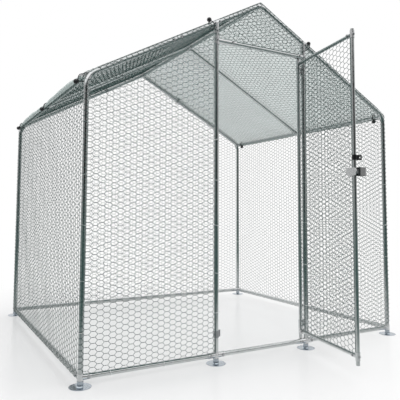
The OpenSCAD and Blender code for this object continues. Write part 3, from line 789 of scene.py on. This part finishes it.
# Radius of a loop of elastic out to its ball, radius of its cord, and points round the loop
LOOP_R, CORD_R, LOOP_STEPS = 0.026, 0.0024, 40
# Shares by which a loop narrows towards its ball, before its eyelet and round the tube
LOOP_PINCH, LOOP_SLACK, LOOP_HUG = 0.35, 0.18, 0.4
# Way from the left eave's axis to its balls
LEFT_BALL = Vector((-0.851, 0, -0.525))


def roof_line(s):
    """A point on the cover's section, at a length from the ridge line, and the way out of it."""
    side, s = side_of(s), abs(s)
    run, drop = 0.0, 0.0
    if s < RIDGE_ARC:
        turn, centre = s / COVER_R, (0.0, RIDGE_H)
    elif s < EAVE_START:
        turn, centre, run = SLOPE, (0.0, RIDGE_H), s - RIDGE_ARC
    elif s < EAVE_END:
        turn, centre = SLOPE + (s - EAVE_START) / COVER_R, (HALF_W, EAVE_H)
    else:
        turn, centre, drop = math.pi / 2, (HALF_W, EAVE_H), s - EAVE_END
    x = centre[0] + COVER_R * math.sin(turn) + run * math.cos(SLOPE)
    z = centre[1] + COVER_R * math.cos(turn) - run * math.sin(SLOPE) - drop
    return Vector((side * x, 0, z)), Vector((side * math.sin(turn), 0, math.cos(turn)))


def draped(sizes, s, y, ripple, broad):
    """Where a point of the flat sheet lies: tight at the ties and ends, and loose between them."""
    point, out = roof_line(s)
    loose = 1 - bell(min(abs(y - tie) for tie in EAVE_TIES), TIE_HOLD)
    past_eave = abs(s) - EAVE_START
    at_eave = bell(past_eave, EAVE_HOLD) if past_eave < 0 else 1.0
    from_end = HALF_L + COVER_OVER - abs(y)
    held = 1 - bell(from_end, END_HOLD)
    lift = sizes.puff * loose * at_eave * (0.75 + 0.5 * ripple)
    waved = BROAD_LIFT * max(0.0, broad) + RIPPLE_LIFT * max(0.0, ripple)
    lift += held * (1 - at_eave) * (LIFT + waved)
    place = point + out * lift
    if past_eave > 0:
        share = past_eave / (EAVE_ARC + sizes.drop)
        droop = sizes.droop * (1.0 if s < 0 else RIGHT_DROOP)
        place.z -= droop * loose * share * (0.8 + 0.5 * ripple)
    place -= out * BEND_DIP * (bell(from_end, BEND_ALONG) * bell(past_eave, BEND_ACROSS))
    if from_end < COVER_OVER:
        place -= out * EDGE_DIP * (1 - from_end / COVER_OVER)
    return Vector((place.x, y, place.z))


def bungee_places():
    """Each bungee's centre on its tube, the axis of the tube, and the ways to its ball and its eyelet."""
    places = []
    lean = SLOPE - math.pi / 4
    for side in (-1, 1):
        ball = LEFT_BALL if side < 0 else Vector((0, 0, -1))
        eyelet = Vector((side * math.sin(lean), 0, math.cos(lean)))
        for y in EAVE_TIES:
            places.append((Vector((side * HALF_W, y, EAVE_H)), Vector((0, -side, 0)), ball, eyelet))
    for x in (POST_L, POST_R):
        along, out = rafter_ways(side_of(x))
        up = RAFTER_L - abs(x) / math.cos(SLOPE) - TIE_GAP
        for y in (-HALF_L, HALF_L):
            places.append((Vector((side_of(x) * HALF_W, y, EAVE_H)) + along * up, along, out, None))
    return places


def loop_spine(centre, axis, ball, eyelet):
    """Points round a loop of elastic: from its ball, through its eyelet, and close round the tube."""
    beside = axis.cross(ball)
    through = math.acos(ball.dot(eyelet)) if eyelet else 0
    points = []
    for i in range(LOOP_STEPS):
        turn = math.tau * i / LOOP_STEPS
        narrow = 1 - LOOP_PINCH * max(0.0, math.cos(turn)) ** 2
        way = ball * math.cos(turn) + beside * math.sin(turn) * narrow
        if turn < through:
            way *= 1 - LOOP_SLACK * math.sin(math.pi * turn / through) ** 0.5
        elif eyelet:
            way *= 1 - LOOP_HUG * math.sin(math.pi * (turn - through) / (math.tau - through)) ** 0.5
        points.append(centre + way * LOOP_R)
    return points


def cord_loop(bm, uv, spine, axis):
    """A closed round cord along a spine, with its map laid out for the braid."""
    rings = []
    for i, point in enumerate(spine):
        ahead = (spine[(i + 1) % len(spine)] - spine[i - 1]).normalized()
        ring = bmesh.ops.create_circle(bm, radius=CORD_R, segments=8)["verts"]
        basis = Matrix((axis, axis.cross(ahead), ahead)).transposed().to_4x4()
        bmesh.ops.transform(bm, matrix=Matrix.Translation(point) @ basis, verts=ring)
        rings.append(ring)
    for i, ring in enumerate(rings):
        after = rings[(i + 1) % len(rings)]
        edges = dict.fromkeys(
            e for r in (ring, after) for v in r for e in v.link_edges if e.other_vert(v) in r
        )
        for face in bmesh.ops.bridge_loops(bm, edges=list(edges))["faces"]:
            for corner in face.loops:
                here, at = (ring, i) if corner.vert in ring else (after, i + 1)
                step = here.index(corner.vert)
                corner[uv].uv = ((step + at) * 0.5, (step - at) * 0.5)


# Operators


class CHICKENRUN_OT_metal(bpy.types.Operator):
    """Finish the tubes, fittings, feet, hinges and latch of the frame"""

    bl_idname = "chicken_run.metal"
    bl_label = "Finish Metal"

    def execute(self, context):
        colours = context.scene.run_finish
        tube = zinc("galvanised_tube", colours.tube, 120.0, 0.08, 0.13, dusty=0.2)
        fitting = zinc("bright_fitting", colours.fitting, 160.0, 0.06, 0.14)
        hardware = zinc("plated_hardware", colours.hardware, 260.0, 0.15, 0.26)
        foot = zinc("blue_plated_foot", colours.foot, 200.0, 0.1, 0.12, dusty=0.15)
        by_slot = {"tube": tube, "fittings": fitting, "hardware": hardware, "foot_steel": foot}
        for row in frame["record"]["subparts"]:
            if row["material_slot"] in by_slot:
                finish_node(by_slot[row["material_slot"]], row["node"])
        # The padlock eye gets near-black steel: painted shade, for an eye that lies in shadow
        finish_node(zinc("painted_shade_plated", (0.05, 0.05, 0.054), 300.0, 0.15, 0.3), "padlock_eye")
        finish_node(tube, "hinge_clips")
        finish_node(fitting, "latch_tongue")
        finish_node(zinc("dark_strap", (0.5, 0.5, 0.505), 300.0, 0.15, 0.16), "latch_handle")
        finish_node(moulded_black("moulded_ball", (0.012, 0.012, 0.013), 0.2, 500.0), "bungee_balls")
        return {"FINISHED"}


class CHICKENRUN_OT_netting(bpy.types.Operator):
    """Hang the wire netting on the walls, the roof and the door"""

    bl_idname = "chicken_run.netting"
    bl_label = "Hang Netting"

    def execute(self, context):
        sizes = context.scene.run_netting
        wire = wire_material("netting_wire", context.scene.run_finish.wire)
        for seed, (name, panel) in enumerate(panels().items()):
            made = piece(net_mesh(name, sizes, panel, seed), wire, panel.get("body", "frame"))
            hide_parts(panel["node"])
        return {"FINISHED"}


class CHICKENRUN_OT_ties(bpy.types.Operator):
    """Tie the netting to the tubes with loops of bright wire"""

    bl_idname = "chicken_run.ties"
    bl_label = "Tie Netting"

    # Radii of the wire, the steps between ties, how far ties stray, and the ends of the runs of ties
    post_wire, rail_wire = 0.0008, 0.0007
    post_step, rail_step = 0.24, 0.26
    post_stray, rail_stray = 0.025, 0.02
    post_low, post_high = 0.25, 1.38
    rail_start, rail_end = 0.15, 0.08

    def execute(self, context):
        rng = random.Random(41)
        bright = zinc("tie_wire", (0.85, 0.86, 0.86), 300.0, 0.05, 0.25)
        reach = NET_R + self.post_wire
        bm = bmesh.new()
        for x, y in CORNERS + [(POST_L, -HALF_L), (POST_R, -HALF_L)]:
            for z in np.arange(self.post_low, self.post_high, self.post_step):
                place = (x, y, z + rng.uniform(-self.post_stray, self.post_stray))
                wire_loop(bm, place, UP, reach, self.post_wire, rng.uniform(0, math.tau))
        rails = (
            (-HALF_W, HALF_L, (1, 0, 0), 2 * HALF_W),
            (-HALF_W, -HALF_L, (1, 0, 0), POST_L + HALF_W),
            (POST_R, -HALF_L, (1, 0, 0), HALF_W - POST_R),
            (-HALF_W, -HALF_L, (0, 1, 0), 2 * HALF_L),
            (HALF_W, -HALF_L, (0, 1, 0), 2 * HALF_L),
        )
        for x, y, way, length in rails:
            for at in np.arange(self.rail_start, length - self.rail_end, self.rail_step):
                at += rng.uniform(-self.rail_stray, self.rail_stray)
                place = (x + way[0] * at, y + way[1] * at, RAIL_H)
                wire_loop(bm, place, way, reach, self.rail_wire, rng.uniform(0, math.tau))
        piece(mesh_from(bm, "netting_ties"), bright, "frame", 60)
        return {"FINISHED"}


class CHICKENRUN_OT_bolts(bpy.types.Operator):
    """Put the bolts on the splices, sockets, saddles and door tees"""

    bl_idname = "chicken_run.bolts"
    bl_label = "Add Bolts"

    # Distances of the bolts along a tube from where its axis meets the next one
    socket_at, saddle_at, post_at, header_at, door_at = 0.036, 0.016, 0.046, 0.1, 0.028
    # Distances of the bolts before and after a splice, and sizes of the heads
    splice_from, splice_to = 0.018, 0.03
    frame_head, door_head = 0.009, 0.008

    def execute(self, context):
        plated = zinc("bolt_steel", (0.5, 0.51, 0.52), 420.0, 0.12, 0.28)
        for name, body, places, head in (
            ("frame_bolts", "frame", self.frame_places(), self.frame_head),
            ("door_bolts", "door", self.door_places(), self.door_head),
        ):
            bm = bmesh.new()
            for foot, way in places:
                bolt(bm, foot, way, head)
            piece(mesh_from(bm, name), plated, body, 30)
        return {"FINISHED"}

    def frame_places(self):
        """The foot of each bolt on the frame and the way that it faces."""
        places = []
        for x, y in CORNERS:
            sx, sy = side_of(x), side_of(y)
            corner = Vector((x, y, RAIL_H))
            places.append((corner + Vector((-sx * self.socket_at, sy * SOCKET_R, 0)), (0, sy, 0)))
            places.append((corner + Vector((sx * SOCKET_R, -sy * self.socket_at, 0)), (sx, 0, 0)))
        front = []
        for x in (POST_L, POST_R):
            along = rafter_ways(side_of(x))[0]
            front += [(x + way * self.socket_at, RAIL_H, SOCKET_R) for way in (-1, 1)]
            for way in (-self.saddle_at, self.saddle_at):
                front.append((x + along.x * way, rafter_z(x) + along.z * way, FITTING_R))
            front.append((x, rafter_z(x) - self.post_at, SOCKET_R))
            front.append((x, HEADER_H, FITTING_R))
        front.append((POST_L + self.header_at, HEADER_H, SOCKET_R))
        front.append((POST_R - self.socket_at, HEADER_H, SOCKET_R))
        places += [(Vector((x, -HALF_L - out, z)), (0, -1, 0)) for x, z, out in front]
        for y, facing in ((-HALF_L, -1), (0, -1), (HALF_L, 1)):
            for side in (-1, 1):
                for at in (SPLICE_AT - self.splice_from, SPLICE_AT + self.splice_to):
                    x = side * (HALF_W - at * math.cos(SLOPE))
                    foot = Vector((x, y + facing * TUBE_R, EAVE_H + at * math.sin(SLOPE)))
                    places.append((foot, (0, facing, 0)))
        return places

    def door_places(self):
        """The foot of each bolt on the door and the way that it faces."""
        places = []
        for z in (DOOR_LOW, DOOR_TOP):
            for at in (self.door_at, DOOR_W - self.door_at):
                for out in (DOOR_OUT, -DOOR_OUT):
                    places.append((HINGE + DOOR_ALONG * at + out * DOOR_TEE_R + UP * z, out))
            places.append((HINGE + DOOR_ALONG * (DOOR_W + DOOR_TEE_R) + UP * z, DOOR_ALONG))
        return places


class CHICKENRUN_OT_cover(bpy.types.Operator):
    """Drape the sheet over the roof, tied at the bungees and loose between them"""

    bl_idname = "chicken_run.cover"
    bl_label = "Drape Cover"

    def execute(self, context):
        sizes = context.scene.run_cover
        rng = random.Random(7)
        bm = bmesh.new()
        bmesh.ops.create_grid(bm, x_segments=150, y_segments=120, size=1.0)
        half_y = HALF_L + COVER_OVER
        stations = [0.0, 0.05, 0.78, 0.92, 1.0]
        lengths = [0.0, RIDGE_ARC, EAVE_START, EAVE_END, COVER_HALF]
        bm.verts.index_update()
        flat = np.array([v.co for v in bm.verts])
        flat[:, 0] = np.sign(flat[:, 0]) * np.interp(np.abs(flat[:, 0]), stations, lengths)
        flat[:, 1] *= half_y
        ripple = waves(rng, flat, 7, 0.12, 0.5)
        broad = waves(rng, flat, 5, 0.5, 1.2)
        uv = bm.loops.layers.uv.new("flat_sheet")
        for i, vert in enumerate(bm.verts):
            vert.co = draped(sizes, flat[i, 0], flat[i, 1], ripple[i], broad[i])
        for face in bm.faces:
            for loop in face.loops:
                loop[uv].uv = flat[loop.vert.index, :2]
        bmesh.ops.recalc_face_normals(bm, faces=bm.faces)
        cloth = cover_material(context.scene.run_finish.cover)
        made = piece(mesh_from(bm, "roof_sheet"), cloth, "frame")
        wall = made.modifiers.new("Thickness", "SOLIDIFY")
        wall.thickness = sizes.thickness
        wall.offset = 0.0
        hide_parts("roof_cover")
        return {"FINISHED"}


class CHICKENRUN_OT_bungees(bpy.types.Operator):
    """Loop the elastic cords through the eyelets and round the tubes"""

    bl_idname = "chicken_run.bungees"
    bl_label = "Tie Bungees"

    def execute(self, context):
        bm = bmesh.new()
        uv = bm.loops.layers.uv.new("braid")
        for centre, axis, ball, eyelet in bungee_places():
            cord_loop(bm, uv, loop_spine(centre, axis, ball, eyelet), axis)
        bmesh.ops.recalc_face_normals(bm, faces=bm.faces)
        made = piece(mesh_from(bm, "bungee_cords"), elastic_material(), "frame")
        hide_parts("bungee_loops")
        return {"FINISHED"}


def studio_walls(tree, way, yaw):
    """Light and dark walls of the studio that the metal reflects, by the way they lie from the run."""
    right = (math.cos(yaw), -math.sin(yaw), 0.0)
    back = (-math.sin(yaw), -math.cos(yaw), 0.0)
    lean = vector_calc(tree, "DOT_PRODUCT", "Value", way, right)
    behind = vector_calc(tree, "DOT_PRODUCT", "Value", way, back)
    around = ramp(tree, calc(tree, "ARCTAN2", lean, behind), -math.pi, math.pi, 0.0, 1.0)
    walls = node(tree, "ShaderNodeValToRGB", {"Fac": around})
    # Degrees round from the way behind the camera, and the brightness there
    levels = (
        (-180, 0.95), (-140, 0.75), (-90, 0.45), (-45, 0.36), (-30, 0.3), (-20, 0.012),
        (44, 0.012), (54, 0.45), (90, 0.5), (130, 0.7), (180, 0.95),
    )
    while len(walls.color_ramp.elements) < len(levels):
        walls.color_ramp.elements.new(0.5)
    for stop, (at, level) in zip(walls.color_ramp.elements, levels):
        stop.position = at / 360 + 0.5
        stop.color = (level, level, level, 1)
    return walls.outputs["Color"]


class CHICKENRUN_OT_stage(bpy.types.Operator):
    """Set the floor, the light and the camera"""

    bl_idname = "chicken_run.stage"
    bl_label = "Set Stage"

    def execute(self, context):
        settings = context.scene.run_stage
        self.floor(context, settings)
        self.world(context, settings)
        self.lamps(settings)
        self.camera(context, settings)
        context.scene.view_settings.view_transform = "Standard"
        return {"FINISHED"}

    def floor(self, context, settings):
        """A pale floor that keeps the shadow, lightened near the run by a painted white glow, and fades to
        white away from the run.
        """
        bm = bmesh.new()
        bmesh.ops.create_grid(bm, x_segments=2, y_segments=2, size=40.0)
        made, tree, shader, where = blank_material("studio_floor")
        pale = context.scene.run_finish.floor
        fill(tree, shader, {
            "Base Color": mix(tree, noise(tree, where, 1.2, 2.0), tint(pale, 0.985), pale),
            "Roughness": 0.22,
            "Specular IOR Level": 0.3,
        })
        rays = node(tree, "ShaderNodeLightPath", {}).outputs
        # Seen in the metal, the floor glows with the darker studio walls mixed with dark teal, fully from 2.6
        # m out from the run: a painted reflection that darkens and tints the undersides of the tubes
        shade = mix(tree, 0.6, studio_walls(tree, where, settings.yaw), (0.1, 0.19, 0.175))
        shown = mix(tree, rays["Is Glossy Ray"], (1, 1, 1), shade)
        glow = node(tree, "ShaderNodeEmission", {"Color": shown, "Strength": 1.0})
        shifted = vector_calc(tree, "ADD", "Vector", where, (0.45, -0.1, 0.0))
        far = vector_calc(tree, "LENGTH", "Value", shifted)
        reach = vector_calc(tree, "LENGTH", "Value", where)
        # For camera rays at least a quarter of the floor's colour is white glow, even by the run: painted
        # light that lightens the shadow
        seen = calc(tree, "MULTIPLY", rays["Is Camera Ray"], ramp(tree, far, 1.1, 2.3, 0.25, 1.0))
        mirrored = calc(tree, "MULTIPLY", rays["Is Glossy Ray"], ramp(tree, reach, 1.2, 2.6, 0.0, 1.0))
        share = calc(tree, "MAXIMUM", seen, mirrored)
        both = node(tree, "ShaderNodeMixShader", {0: share, 1: shader.outputs[0], 2: glow.outputs[0]})
        tree.links.new(both.outputs[0], tree.nodes["Material Output"].inputs["Surface"])
        floor = in_scene("studio_floor", mesh_from(bm, "studio_floor"))
        floor.data.materials.append(made)

    def world(self, context, settings):
        """White behind the run, darker sides for the metal to reflect, and even light on the rest."""
        world = bpy.data.worlds.new("studio")
        context.scene.world = world
        world.use_nodes = True
        tree = world.node_tree
        way = tree.nodes.new("ShaderNodeTexCoord").outputs["Generated"]
        ceiling = ramp(tree, split(tree, way)["Z"], 0.3, 0.48, 0.0, 1.0)
        panorama = mix(tree, ceiling, studio_walls(tree, way, settings.yaw), (1.2, 1.2, 1.2))
        rays = node(tree, "ShaderNodeLightPath", {}).outputs
        even = (settings.ambient, settings.ambient, settings.ambient * 1.01)
        lit = mix(tree, rays["Is Glossy Ray"], even, panorama)
        clear = calc(tree, "MAXIMUM", rays["Is Camera Ray"], rays["Is Transmission Ray"])
        fill(tree, tree.nodes["Background"], {"Color": mix(tree, clear, lit, (1, 1, 1))})

    def lamps(self, settings):
        """A large soft light over the right side and a weaker one over the left front."""
        aim, size = Vector((0, 0, 0.8)), 3.4
        for name, place, power in (
            ("key_light", Vector((3.4, 0.6, 4.6)), settings.key),
            ("front_light", Vector((-2.6, -4.2, 4.0)), settings.key * 0.7),
        ):
            lamp = bpy.data.lights.new(name, "AREA")
            lamp.shape = "DISK"
            lamp.size = size
            lamp.energy = power
            made = in_scene(name, lamp)
            made.location = place
            made.visible_glossy = False
            made.rotation_mode = "QUATERNION"
            made.rotation_quaternion = (aim - place).to_track_quat("-Z", "Y")

    def camera(self, context, settings):
        """The camera of the photograph."""
        lens = bpy.data.cameras.new("camera")
        lens.lens = settings.lens
        lens.sensor_width = 36.0
        lens.shift_y = settings.rise
        lens.clip_end = 200.0
        made = in_scene("camera", lens)
        level = math.cos(settings.pitch)
        east, north = math.sin(settings.yaw), math.cos(settings.yaw)
        ahead = Vector((east * level, north * level, math.sin(settings.pitch)))
        right = Vector((north, -east, 0))
        basis = Matrix((right, right.cross(ahead), -ahead)).transposed().to_4x4()
        made.matrix_world = Matrix.Translation(settings.eye) @ basis @ Matrix.Rotation(settings.roll, 4, "Z")
        context.scene.camera = made


OPERATORS = (
    CHICKENRUN_OT_stage,
    CHICKENRUN_OT_metal,
    CHICKENRUN_OT_netting,
    CHICKENRUN_OT_ties,
    CHICKENRUN_OT_bolts,
    CHICKENRUN_OT_cover,
    CHICKENRUN_OT_bungees,
)


class CHICKENRUN_PT_panel(bpy.types.Panel):
    """Lists the steps and their settings."""

    bl_idname = "CHICKENRUN_PT_panel"
    bl_label = "Chicken Run"
    bl_space_type = "VIEW_3D"
    bl_region_type = "UI"
    bl_category = "Chicken Run"

    def draw(self, context):
        for kind in OPERATORS:
            self.layout.operator(kind.bl_idname)
        for key, group in SETTINGS.items():
            box = self.layout.box()
            for name in group.__annotations__:
                box.prop(getattr(context.scene, key), name)


def register():
    for kind in (*SETTINGS.values(), *OPERATORS, CHICKENRUN_PT_panel):
        bpy.utils.register_class(kind)
    for key, group in SETTINGS.items():
        setattr(bpy.types.Scene, key, bpy.props.PointerProperty(type=group))


def unregister():
    for key in SETTINGS:
        delattr(bpy.types.Scene, key)
    for kind in (CHICKENRUN_PT_panel, *reversed(OPERATORS), *SETTINGS.values()):
        bpy.utils.unregister_class(kind)


def main():
    register()
    for kind in OPERATORS:
        area, step = kind.bl_idname.split(".")
        getattr(getattr(bpy.ops, area), step)()


if __name__ == "__main__":
    main()
